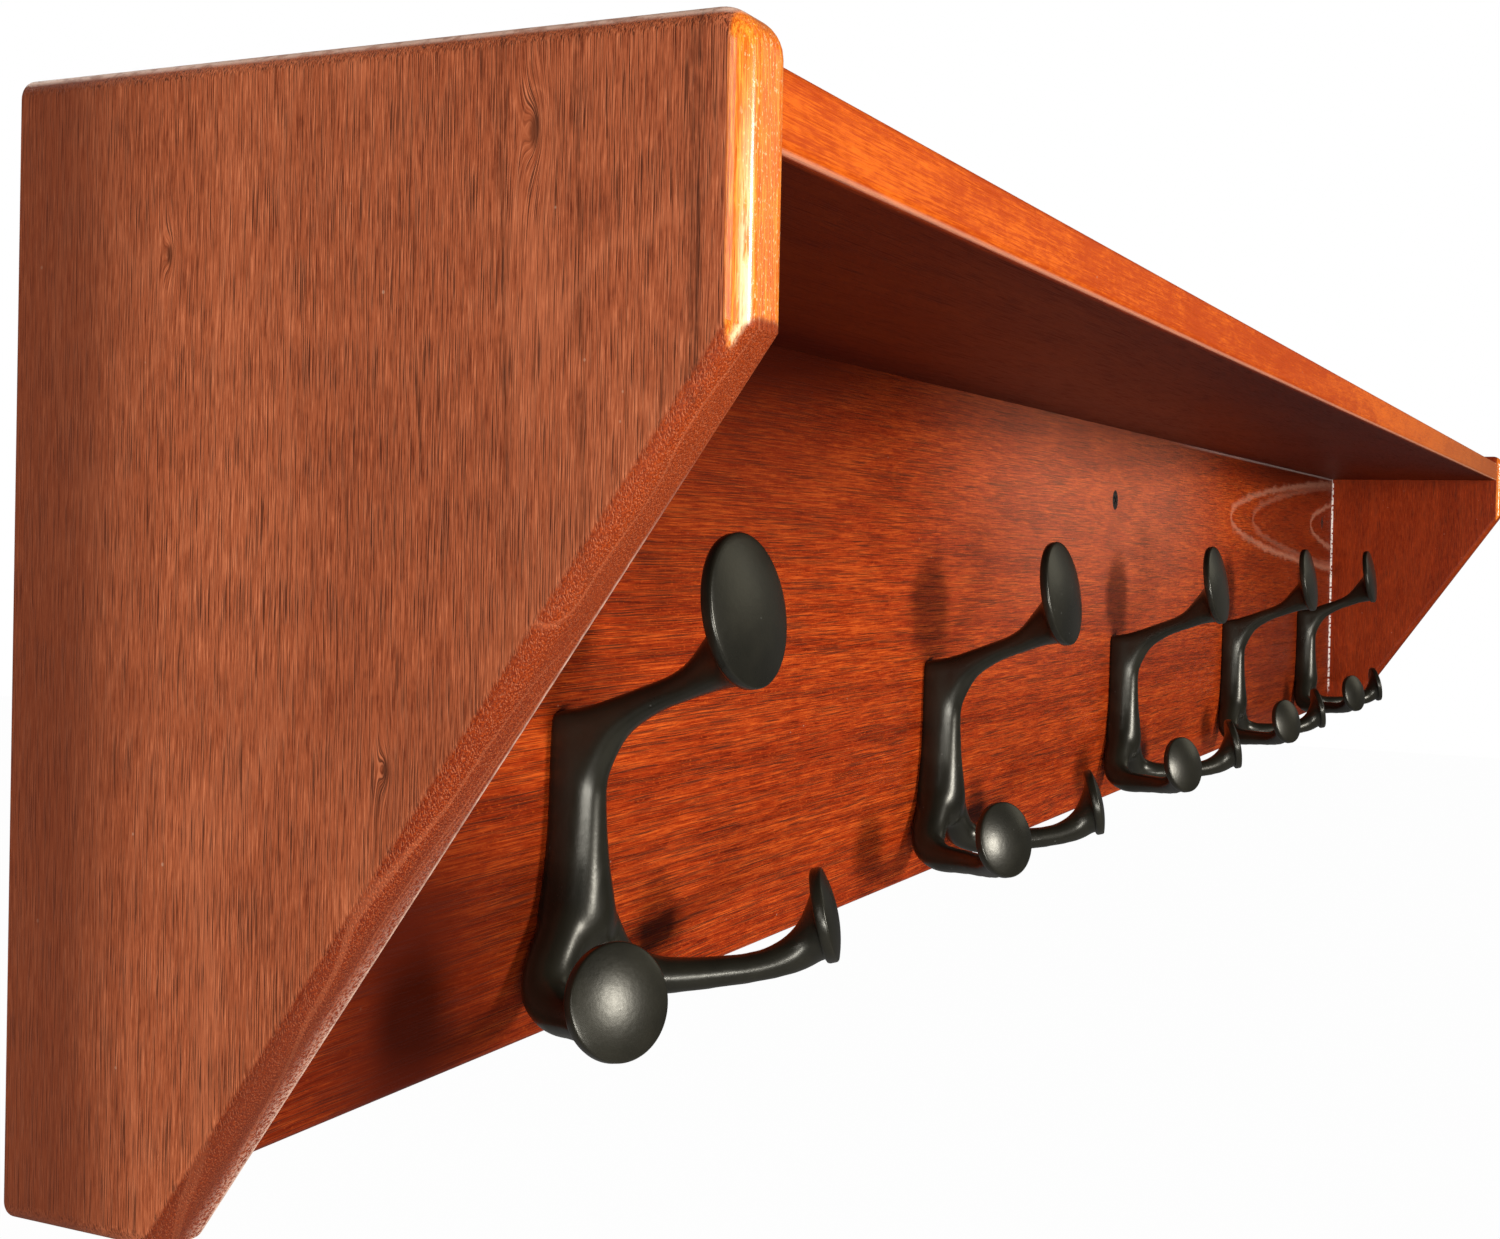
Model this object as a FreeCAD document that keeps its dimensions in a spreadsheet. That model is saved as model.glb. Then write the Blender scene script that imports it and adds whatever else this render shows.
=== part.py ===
# Wooden wall shelf with five cast three-prong hooks.
# Frame: X along the shelf, the wall is the plane Y = 0 and the front faces -Y, Z is up.
# The origin is the middle of the back board's rear face, where the shelf meets the wall.
import FreeCAD
import Part
import Sketcher
import math
import os

from FreeCAD import Placement, Rotation, Vector

doc = FreeCAD.newDocument("wall_shelf_with_hooks")
sheet = doc.addObject("Spreadsheet::Sheet", "sizes")


class Size:
    """A length in millimetres: its number, and the expression that ties a piece to the sheet."""

    def __init__(self, number, text):
        self.number = number
        self.text = text

    def __add__(self, other):
        return Size(self.number + other.number, f"({self.text} + {other.text})")

    def __sub__(self, other):
        return Size(self.number - other.number, f"({self.text} - {other.text})")

    def __neg__(self):
        return Size(-self.number, f"(-1 * {self.text})")

    def __mul__(self, factor):
        return Size(self.number * factor, f"({self.text} * {factor})")

    def __truediv__(self, factor):
        return Size(self.number / factor, f"({self.text} / {factor})")


sheet_rows = []


def size(name, number):
    """Writes one driving dimension in the sheet under its own name."""
    sheet_rows.append(name)
    row = len(sheet_rows)
    sheet.set(f"A{row}", name)
    sheet.set(f"B{row}", str(number))
    sheet.setAlias(f"B{row}", name)
    return Size(number, f"sizes.{name}")


ZERO = Size(0, "0")

# The whole shelf
shelf_length = size("shelf_length", 880)
panel_height = size("panel_height", 140)
panel_depth = size("panel_depth", 100)

# Side panels
panel_thickness = size("panel_thickness", 9.5)
panel_foot_depth = size("panel_foot_depth", 24)
panel_front_height = size("panel_front_height", 33)
panel_corner_radius = size("panel_corner_radius", 4.5)
panel_roundover = size("panel_roundover", 2.8)

# Shelf board
shelf_drop = size("shelf_drop", 3.6)
shelf_thickness = size("shelf_thickness", 9.5)
shelf_setback = size("shelf_setback", 2)
shelf_edge_radius = size("shelf_edge_radius", 1.4)

# Back board
back_thickness = size("back_thickness", 9.5)
back_edge_radius = size("back_edge_radius", 1.4)

# Tongues of the boards and the grooves that hold them
tongue_thickness = size("tongue_thickness", 4)
tongue_length = size("tongue_length", 3.5)
tongue_stop = size("tongue_stop", 12)
groove_slack = size("groove_slack", 0.05)
groove_end_gap = size("groove_end_gap", 0.3)

# Wall screws
wall_screw_thread = size("wall_screw_thread", 3.5)
wall_screw_shank = size("wall_screw_shank", 3)
wall_screw_head = size("wall_screw_head", 7)
wall_screw_length = size("wall_screw_length", 38)
wall_screw_tip = size("wall_screw_tip", 5)
wall_screw_thread_start = size("wall_screw_thread_start", 1)
wall_screw_slack = size("wall_screw_slack", 0.2)
wall_screw_below_shelf = size("wall_screw_below_shelf", 24.8)
wall_screw_inset = size("wall_screw_inset", 30.5)

# Hook screws, driven from behind the back board, with their heads sunk in counterbores
hook_screw_shank = size("hook_screw_shank", 4)
hook_screw_head = size("hook_screw_head", 8)
hook_screw_head_height = size("hook_screw_head_height", 2.6)
hook_screw_bite = size("hook_screw_bite", 5.5)
hook_screw_slack = size("hook_screw_slack", 0.05)
hook_screw_height = size("hook_screw_height", 22)
counterbore_depth = size("counterbore_depth", 3.2)
counterbore_slack = size("counterbore_slack", 0.6)

# Hooks
hook_end_space = size("hook_end_space", 94.5)
hook_lift = size("hook_lift", 0.6)
spine_height = size("spine_height", 53.5)
spine_half_width = size("spine_half_width", 4.2)
spine_front = size("spine_front", 9.8)
upper_reach = size("upper_reach", 36)
upper_height = size("upper_height", 73.2)
arm_radius = size("arm_radius", 3.1)
upper_disc_diameter = size("upper_disc_diameter", 26.2)
lower_spread = size("lower_spread", 35.6)
lower_reach = size("lower_reach", 34.8)
lower_height = size("lower_height", 16.3)
lower_disc_diameter = size("lower_disc_diameter", 17.6)
disc_half_thickness = size("disc_half_thickness", 1.1)
disc_crown = size("disc_crown", 1.3)

HOOKS = 5
SECTION_SIDES = 8
UPPER_DISC_TILT = 9
LOWER_DISC_TILT = 13
LOWER_DISC_TURN = 19

# Each station of the spine: height, half width and depth
# as shares of spine_height, spine_half_width and spine_front
SPINE_SHARES = (
    (0.012, 1.35, 0.95),
    (0.20, 2.15, 1.30),
    (0.42, 1.45, 1.08),
    (0.65, 0.96, 0.96),
    (1.0, 0.80, 1.02),
)

# The face of a disc is flat in the middle and sloped towards its rim
DISC_FLAT_SHARE = 0.62

# Where the middle of a spine station lies, as a share of its depth
SPINE_MIDDLE_SHARE = 0.2

# Each station of an arm: reach and height as shares of the disc's own, half height and half width
# as shares of arm_radius, and how far the station's plane is tilted up, in degrees
UPPER_ARM_SHARES = (
    (0.03, 0.675, 1.72, 1.20, 2),
    (0.45, 0.775, 0.95, 0.95, 20),
    (0.82, 0.865, 1.20, 1.25, 28),
    (1.01, 0.930, 2.85, 3.00, UPPER_DISC_TILT),
)

# The same for a lower arm, with the share of lower_spread first and the turn outwards last
LOWER_ARM_SHARES = (
    (0.08, 0.13, 0.50, 1.62, 1.40, -4, 56),
    (0.50, 0.46, 0.36, 0.98, 0.98, 4, 50),
    (0.84, 0.77, 0.58, 1.12, 1.15, 26, 36),
    (0.995, 1.0, 0.96, 2.25, 2.30, LOWER_DISC_TILT, LOWER_DISC_TURN),
)

# Places that follow from the sizes above
inner_length = shelf_length - panel_thickness * 2
half_inner = inner_length / 2
back_height = panel_height - shelf_drop - shelf_thickness
bottom = -(back_height / 2)
shelf_under = back_height / 2
shelf_depth = panel_depth - shelf_setback
wall_screw_z = shelf_under - wall_screw_below_shelf
wall_screw_spacing = half_inner - wall_screw_inset
hook_base = bottom + hook_lift
hook_screw_z = hook_base + hook_screw_height
hook_pitch = (half_inner - hook_end_space) * 2 / (HOOKS - 1)


def bind(thing, prop, length):
    """Gives a property its length and keeps it tied to the sheet."""
    thing.setExpression(prop, length.text)


def place(thing, x, y, z, rotation=None):
    """Puts a piece at a point that stays tied to the sheet."""
    thing.Placement = Placement(Vector(x.number, y.number, z.number), rotation or Rotation())
    bind(thing, "Placement.Base.x", x)
    bind(thing, "Placement.Base.y", y)
    bind(thing, "Placement.Base.z", z)
    return thing


def cylinder(name, radius, length, x, y, z):
    """A round rod or drilling that runs from a point towards the wall."""
    rod = doc.addObject("Part::Cylinder", name)
    bind(rod, "Radius", radius)
    bind(rod, "Height", length)
    return place(rod, x, y, z, Rotation(Vector(1, 0, 0), -90))


def cone(name, start_radius, end_radius, length, x, y, z):
    """A taper that runs from a point towards the wall."""
    taper = doc.addObject("Part::Cone", name)
    bind(taper, "Radius1", start_radius)
    bind(taper, "Radius2", end_radius)
    bind(taper, "Height", length)
    return place(taper, x, y, z, Rotation(Vector(1, 0, 0), -90))


def box(name, length, width, height, x, y, z):
    """A block with its lowest corner at a point."""
    block = doc.addObject("Part::Box", name)
    bind(block, "Length", length)
    bind(block, "Width", width)
    bind(block, "Height", height)
    return place(block, x, y, z)


def fuse(name, pieces):
    """One solid made of pieces that touch or overlap."""
    joined = doc.addObject("Part::MultiFuse", name)
    joined.Shapes = pieces
    joined.Refine = True
    return joined


def cut(name, base, tools):
    """The base with every tool taken away."""
    cutters = doc.addObject("Part::Compound", f"{name}_cutters")
    cutters.Links = tools
    result = doc.addObject("Part::Cut", name)
    result.Base = base
    result.Tool = cutters
    return result


def group(name, pieces):
    """Separate solids that share one node."""
    gathered = doc.addObject("Part::Compound", name)
    gathered.Links = pieces
    return gathered


def plane_of(body, role):
    """The origin plane of a body that has the given role."""
    for feature in body.Origin.OriginFeatures:
        if feature.Role == role:
            return feature
    raise ValueError(f"the body has no {role}")


def draw_outline(sketch, points):
    """Draws a closed outline of straight sides whose corners are tied to the sheet."""
    corners = [Vector(across.number, up.number, 0) for across, up in points]
    count = len(corners)
    for i in range(count):
        sketch.addGeometry(Part.LineSegment(corners[i], corners[(i + 1) % count]), False)
    for i in range(count):
        sketch.addConstraint(Sketcher.Constraint("Coincident", i, 2, (i + 1) % count, 1))
    ties = []
    for i, (across, up) in enumerate(points):
        ties.append(("DistanceX", i, 1, across))
        ties.append(("DistanceY", i, 1, up))
    tie(sketch, ties)


def tie(sketch, ties):
    """Ties points of a sketch to the sheet, each by its distance from the sketch's origin."""
    for kind, geometry, point, length in ties:
        index = sketch.addConstraint(Sketcher.Constraint(kind, -1, 1, geometry, point, length.number))
        sketch.setExpression(f"Constraints[{index}]", length.text)


def body_sketch(body, name, role):
    """An empty sketch on one of a body's origin planes."""
    sketch = body.newObject("Sketcher::SketchObject", name)
    sketch.AttachmentSupport = [(plane_of(body, role), "")]
    sketch.MapMode = "FlatFace"
    return sketch


def pad(body, name, sketch, length):
    feature = body.newObject("PartDesign::Pad", name)
    feature.Profile = sketch
    bind(feature, "Length", length)
    doc.recompute()
    return feature


def edge_names(shape, wanted):
    """The names of the edges for which wanted(middle, direction) is true."""
    names = []
    for i, edge in enumerate(shape.Edges, 1):
        first, last = edge.FirstParameter, edge.LastParameter
        middle = edge.valueAt((first + last) / 2)
        direction = edge.tangentAt((first + last) / 2)
        if wanted(middle, direction):
            names.append(f"Edge{i}")
    return names


def fillet(body, name, base, wanted, radius):
    feature = body.newObject("PartDesign::Fillet", name)
    feature.Base = (base, edge_names(base.Shape, wanted))
    bind(feature, "Radius", radius)
    doc.recompute()
    return feature


def is_flat_on(value, level):
    """True where a coordinate lies on a level, within a share of the finest roundover."""
    nearness_share = 0.05
    return abs(value - level) < shelf_edge_radius.number * nearness_share


def runs_along_x(direction):
    return abs(direction.x) > abs(direction.y) + abs(direction.z)


def side_panel(name):
    """A five-sided panel, upright at the wall and cut back from a short front edge to a short foot.
    Its top front corner is rounded, and both faces are rounded over except along the wall."""
    body = doc.addObject("PartDesign::Body", f"{name}_body")
    sketch = body_sketch(body, f"{name}_outline", "YZ_Plane")
    points = (
        (ZERO, ZERO),
        (-panel_foot_depth, ZERO),
        (-panel_depth, panel_height - panel_front_height),
        (-panel_depth, panel_height),
        (ZERO, panel_height),
    )
    draw_outline(sketch, points)
    board = pad(body, f"{name}_blank", sketch, panel_thickness)
    rounded = fillet(
        body,
        f"{name}_corner",
        board,
        lambda middle, direction: runs_along_x(direction)
        and is_flat_on(middle.y, -panel_depth.number)
        and is_flat_on(middle.z, panel_height.number),
        panel_corner_radius,
    )
    fillet(
        body,
        f"{name}_roundover",
        rounded,
        lambda middle, direction: not is_flat_on(middle.y, 0)
        and (is_flat_on(middle.x, 0) or is_flat_on(middle.x, panel_thickness.number)),
        panel_roundover,
    )
    return body


def long_board(name, depth, height, radius, rounded_levels):
    """A board as long as the space between the panels, with its front edges eased."""
    body = doc.addObject("PartDesign::Body", f"{name}_body")
    sketch = body_sketch(body, f"{name}_section", "YZ_Plane")
    draw_outline(sketch, ((ZERO, ZERO), (-depth, ZERO), (-depth, height), (ZERO, height)))
    board = pad(body, f"{name}_blank", sketch, inner_length)
    levels = [level.number for level in rounded_levels]
    fillet(
        body,
        f"{name}_easing",
        board,
        lambda middle, direction: runs_along_x(direction)
        and is_flat_on(middle.y, -depth.number)
        and any(is_flat_on(middle.z, level) for level in levels),
        radius,
    )
    return body


SIDES = (("left", -1), ("right", 1))


def wall_screw_places():
    """The wall screws, one at each end of the back board and one in the middle."""
    return [("left", -wall_screw_spacing), ("centre", ZERO), ("right", wall_screw_spacing)]


def hook_places():
    """The middles of the hooks, evenly spaced about the middle of the back board."""
    middle = (HOOKS - 1) / 2
    return [hook_pitch * (i - middle) for i in range(HOOKS)]


# The middle plane of each board's thickness, on which its tongues lie
shelf_middle_z = shelf_under + shelf_thickness / 2
back_middle_y = -(back_thickness / 2)


def shelf_tongue(name, side, slack, end_gap):
    """The tongue on one end of the shelf board, or with slack the groove that holds it."""
    length = tongue_length + end_gap
    depth = shelf_depth - tongue_stop + slack
    half_height = tongue_thickness / 2 + slack
    x = half_inner if side > 0 else -half_inner - length
    return box(name, length, depth, half_height * 2, x, -depth, shelf_middle_z - half_height)


def back_tongue(name, side, slack, end_gap):
    """The tongue on one end of the back board, or with slack the groove that holds it."""
    length = tongue_length + end_gap
    height = back_height - tongue_stop * 2 + slack * 2
    half_depth = tongue_thickness / 2 + slack
    x = half_inner if side > 0 else -half_inner - length
    return box(name, length, half_depth * 2, height, x, back_middle_y - half_depth, -(height / 2))


def top_tongue(name, slack, end_gap):
    """The tongue along the back board's top edge, or with slack the groove in the shelf above it."""
    length = inner_length - tongue_stop * 2 + slack * 2
    half_depth = tongue_thickness / 2 + slack
    height = tongue_length + end_gap
    return box(name, length, half_depth * 2, height, -(length / 2), back_middle_y - half_depth, shelf_under)


def panel_piece(name, side):
    """A side panel in its place, with the grooves for the shelf and the back board."""
    body = side_panel(name)
    start = -(shelf_length / 2) if side < 0 else half_inner
    place(body, start, ZERO, bottom)
    grooves = [
        shelf_tongue(f"{name}_shelf_groove", side, groove_slack, groove_end_gap),
        back_tongue(f"{name}_back_groove", side, groove_slack, groove_end_gap),
    ]
    return cut(name, body, grooves)


def shelf_piece():
    """The shelf board, which lies on the back board and runs back to the wall."""
    body = long_board("shelf", shelf_depth, shelf_thickness, shelf_edge_radius, (ZERO, shelf_thickness))
    place(body, -half_inner, ZERO, shelf_under)
    tongues = [shelf_tongue(f"shelf_{word}_tongue", side, ZERO, ZERO) for word, side in SIDES]
    solid = fuse("shelf_with_tongues", [body] + tongues)
    return cut("shelf_board", solid, [top_tongue("shelf_groove", groove_slack, groove_end_gap)])


def wall_screw_hole(name, x):
    """A clearance hole through the back board with a countersink for a flat head."""
    head_radius = wall_screw_head / 2
    shank_radius = wall_screw_shank / 2
    hole_radius = wall_screw_thread / 2 + wall_screw_slack
    sink = head_radius - shank_radius
    pieces = [
        cylinder(f"{name}_drilling", hole_radius, back_thickness, x, -back_thickness, wall_screw_z),
        cone(f"{name}_sink", head_radius, shank_radius, sink, x, -back_thickness, wall_screw_z),
    ]
    return fuse(name, pieces)


def hook_screw_hole(name, x):
    """A hole through the back board with a counterbore at the rear for the screw's head."""
    hole_radius = hook_screw_shank / 2 + hook_screw_slack
    counterbore_radius = hook_screw_head / 2 + counterbore_slack
    pieces = [
        cylinder(f"{name}_drilling", hole_radius, back_thickness, x, -back_thickness, hook_screw_z),
        cylinder(f"{name}_sink", counterbore_radius, counterbore_depth, x, -counterbore_depth, hook_screw_z),
    ]
    return fuse(name, pieces)


def back_piece():
    """The back board with its tongues, drilled for the wall screws and the hook screws."""
    body = long_board("back", back_thickness, back_height, back_edge_radius, (ZERO,))
    place(body, -half_inner, ZERO, bottom)
    tongues = [back_tongue(f"back_{word}_tongue", side, ZERO, ZERO) for word, side in SIDES]
    tongues.append(top_tongue("back_top_tongue", ZERO, ZERO))
    solid = fuse("back_with_tongues", [body] + tongues)
    holes = [wall_screw_hole(f"wall_screw_hole_{word}", x) for word, x in wall_screw_places()]
    holes += [hook_screw_hole(f"hook_screw_hole_{i}", x) for i, x in enumerate(hook_places(), 1)]
    return cut("back_board", solid, holes)


def wall_screw(name, x):
    """A flat-head wood screw from the front of the back board into the wall. Its thread is drawn as
    a plain rod of the thread's outer width, which starts just behind the board."""
    head_radius = wall_screw_head / 2
    shank_radius = wall_screw_shank / 2
    thread_radius = wall_screw_thread / 2
    front = -back_thickness
    tip_start = front + wall_screw_length - wall_screw_tip
    thread = tip_start - wall_screw_thread_start
    sink = head_radius - shank_radius
    pieces = [
        cone(f"{name}_head", head_radius, shank_radius, sink, x, front, wall_screw_z),
        cylinder(f"{name}_shank", shank_radius, tip_start - front, x, front, wall_screw_z),
        cylinder(f"{name}_thread", thread_radius, thread, x, wall_screw_thread_start, wall_screw_z),
        cone(f"{name}_tip", thread_radius, ZERO, wall_screw_tip, x, tip_start, wall_screw_z),
    ]
    return fuse(name, pieces)


def hook_screw(name, x):
    """A pan-head machine screw from behind the back board into a hook."""
    head_radius = hook_screw_head / 2
    shank_radius = hook_screw_shank / 2
    seat = -counterbore_depth
    end = -(back_thickness + hook_screw_bite)
    pieces = [
        cylinder(f"{name}_head", head_radius, hook_screw_head_height, x, seat, hook_screw_z),
        cylinder(f"{name}_shank", shank_radius, seat - end, x, end, hook_screw_z),
    ]
    return fuse(name, pieces)


def section(name, half_width, half_height, x, y, z, rotation=None):
    """A section of the casting: a softened rectangle drawn as a polygon about its middle."""
    sketch = doc.addObject("Sketcher::SketchObject", name)
    step = 2 * math.pi / SECTION_SIDES
    reach_share = 1 / math.cos(step / 2)
    points = []
    for i in range(SECTION_SIDES):
        angle = step * (i + 0.5)
        across = half_width * round(reach_share * math.cos(angle), 6)
        up = half_height * round(reach_share * math.sin(angle), 6)
        points.append((across, up))
    draw_outline(sketch, points)
    return place(sketch, x, y, z, rotation)


def facing(turn, tilt):
    """The turn of a plane that faces forward, swung outwards and tilted up, in degrees."""
    return Rotation(Vector(0, 0, 1), turn) * Rotation(Vector(1, 0, 0), 90 - tilt)


def loft(name, sections):
    skin = doc.addObject("Part::Loft", name)
    skin.Sections = sections
    skin.Solid = True
    skin.Ruled = False
    return skin


def hook_spine():
    """The upright of the hook, narrow at the top and swelling where the lower arms leave it."""
    rings = []
    for i, (up_share, width_share, depth_share) in enumerate(SPINE_SHARES, 1):
        depth = spine_front * depth_share
        middle = depth * SPINE_MIDDLE_SHARE
        z = spine_height * up_share
        rings.append(section(f"spine_ring_{i}", spine_half_width * width_share, depth - middle, ZERO, -middle, z))
    return loft("spine", rings)


def upper_arm():
    """The arm that leaves the top of the spine and flares under the upper disc."""
    rings = []
    for i, (reach_share, height_share, tall_share, wide_share, tilt) in enumerate(UPPER_ARM_SHARES, 1):
        wide = arm_radius * wide_share
        tall = arm_radius * tall_share
        y = -(upper_reach * reach_share)
        z = upper_height * height_share
        rings.append(section(f"upper_ring_{i}", wide, tall, ZERO, y, z, facing(0, tilt)))
    return loft("upper_arm", rings)


def lower_arm():
    """The right one of the two arms that leave the foot of the spine and curve up to their discs."""
    rings = []
    for i, shares in enumerate(LOWER_ARM_SHARES, 1):
        spread_share, reach_share, height_share, tall_share, wide_share, tilt, turn = shares
        wide = arm_radius * wide_share
        tall = arm_radius * tall_share
        x = lower_spread * spread_share
        y = -(lower_reach * reach_share)
        z = lower_height * height_share
        rings.append(section(f"lower_ring_{i}", wide, tall, x, y, z, facing(turn, tilt)))
    return loft("lower_arm", rings)


def disc(name, diameter, x, y, z, rotation):
    """The disc at the end of an arm: a flat back, a narrow rim and a face that slopes to it."""
    body = doc.addObject("PartDesign::Body", f"{name}_body")
    sketch = body_sketch(body, f"{name}_profile", "XZ_Plane")
    edge = diameter / 2
    top = disc_half_thickness + disc_crown
    points = (
        (ZERO, -disc_half_thickness),
        (edge, -disc_half_thickness),
        (edge, disc_half_thickness),
        (edge * DISC_FLAT_SHARE, top),
        (ZERO, top),
    )
    draw_outline(sketch, points)
    turned = body.newObject("PartDesign::Revolution", f"{name}_turned")
    turned.Profile = sketch
    turned.ReferenceAxis = (sketch, ["V_Axis"])
    turned.Angle = 360
    doc.recompute()
    return place(body, x, y, z, rotation)


def lower_prong():
    """A lower arm with its disc."""
    facing_out = facing(LOWER_DISC_TURN, LOWER_DISC_TILT)
    knob = disc("lower_disc", lower_disc_diameter, lower_spread, -lower_reach, lower_height, facing_out)
    return fuse("right_prong", [lower_arm(), knob])


def hook_pattern():
    """One whole hook, with its back on the plane Y = 0 and its foot at Z = 0."""
    prong = lower_prong()
    twin = doc.addObject("Part::Mirroring", "left_prong")
    twin.Source = prong
    twin.Normal = Vector(1, 0, 0)
    facing_up = facing(0, UPPER_DISC_TILT)
    knob = disc("upper_disc", upper_disc_diameter, ZERO, -upper_reach, upper_height, facing_up)
    solid = fuse("hook_blank", [hook_spine(), upper_arm(), knob, prong, twin])
    span = upper_disc_diameter * 2
    rise = upper_height * 2
    behind = box("hook_behind", span, spine_front * 2, rise, -(span / 2), ZERO, -(rise / 2))
    radius = hook_screw_shank / 2 + hook_screw_slack
    depth = hook_screw_bite + hook_screw_slack
    drilling = cylinder("hook_drilling", radius, depth, ZERO, -depth, hook_screw_height)
    return cut("hook_pattern", solid, [behind, drilling])


def build():
    """Every piece of the shelf in its place."""
    nodes = [panel_piece(f"{word}_side_panel", side) for word, side in SIDES]
    nodes.append(shelf_piece())
    nodes.append(back_piece())
    pattern = hook_pattern()
    hooks = []
    for i, x in enumerate(hook_places(), 1):
        hooks.append(place(group(f"hook_{i}", [pattern]), x, -back_thickness, hook_base))
    nodes.append(group("coat_hooks", hooks))
    nodes += [hook_screw(f"hook_{i}_screw", x) for i, x in enumerate(hook_places(), 1)]
    screws = [wall_screw(f"wall_screw_{word}", x) for word, x in wall_screw_places()]
    nodes.append(group("wall_screws", screws))
    return nodes


def check(nodes):
    """Stops if anything in the document failed, or if a piece isn't a sound solid."""
    for thing in doc.Objects:
        for word in ("Invalid", "Error"):
            if word in thing.State:
                raise RuntimeError(f"{thing.Label} is {word}")
    for node in nodes:
        shape = node.Shape
        if shape.isNull() or not shape.isValid() or not shape.Solids:
            raise RuntimeError(f"{node.Label} has no sound shape")
        for solid in shape.Solids:
            if solid.Volume <= 0:
                raise RuntimeError(f"{node.Label} has an empty solid")


nodes = build()
doc.recompute()
check(nodes)
os.makedirs("parts", exist_ok=True)
for node in nodes:
    node.Shape.exportStep(f"parts/{node.Label}.step")
    print(node.Label, len(node.Shape.Solids), round(node.Shape.Volume, 1))
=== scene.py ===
import math

import bmesh
import bpy
from mathutils import Matrix, Vector


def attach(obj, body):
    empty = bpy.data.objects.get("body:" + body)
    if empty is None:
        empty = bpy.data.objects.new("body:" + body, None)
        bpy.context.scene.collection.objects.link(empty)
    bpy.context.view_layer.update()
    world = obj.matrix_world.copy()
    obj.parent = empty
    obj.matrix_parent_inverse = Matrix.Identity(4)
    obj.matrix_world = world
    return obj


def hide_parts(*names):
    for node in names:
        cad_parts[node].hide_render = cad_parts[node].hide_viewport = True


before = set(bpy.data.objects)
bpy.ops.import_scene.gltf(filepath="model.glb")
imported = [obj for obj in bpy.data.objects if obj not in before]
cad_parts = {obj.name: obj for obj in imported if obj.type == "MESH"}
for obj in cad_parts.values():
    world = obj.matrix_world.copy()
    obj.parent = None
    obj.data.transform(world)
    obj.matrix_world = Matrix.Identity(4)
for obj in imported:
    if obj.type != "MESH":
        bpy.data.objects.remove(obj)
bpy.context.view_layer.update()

MM = 0.001

# The shelf as the frame has it, in millimetres
PANEL_OUTSIDE = -440.0
PANEL_FRONT = -100.0
PANEL_TOP = 76.55
SHELF_FRONT = -98.0
SHELF_FOOT = 63.45
BOARD_FRONT = -9.5
BOARD_END = 430.5
HOOK_FOOT = -62.85
HOOK_PLACES = (-336.0, -168.0, 0.0, 168.0, 336.0)
HOOK_SCREW_SEAT = -3.2
HOOK_SCREW_Z = -40.85
WALL_SCREW_Z = 38.65

# The slope of a side panel: its lower end, and the direction that it faces, across Y and Z
SLOPE_FOOT = (-24.0, -63.45)
SLOPE_FACING = (-0.8153, -0.5791)


# Shader maths

class Value:
    """What a node gives. Numbers are written in ordinary sums."""

    def __init__(self, shader, socket):
        self.shader = shader
        self.socket = socket

    def __add__(self, other):
        return self.shader.math("ADD", self, other)

    def __radd__(self, other):
        return self.shader.math("ADD", other, self)

    def __sub__(self, other):
        return self.shader.math("SUBTRACT", self, other)

    def __rsub__(self, other):
        return self.shader.math("SUBTRACT", other, self)

    def __mul__(self, other):
        return self.shader.math("MULTIPLY", self, other)

    def __rmul__(self, other):
        return self.shader.math("MULTIPLY", other, self)

    def __truediv__(self, other):
        return self.shader.math("DIVIDE", self, other)

    def __rtruediv__(self, other):
        return self.shader.math("DIVIDE", other, self)

    def __pow__(self, other):
        return self.shader.math("POWER", self, other)

    def rise(self, low, high):
        """A soft step from 0 at low to 1 at high, which may be the lower of the two."""
        settings = {"interpolation_type": "SMOOTHSTEP"}
        inputs = {"Value": self, "From Min": low, "From Max": high}
        return self.shader.value("ShaderNodeMapRange", "Result", settings, inputs)


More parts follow.
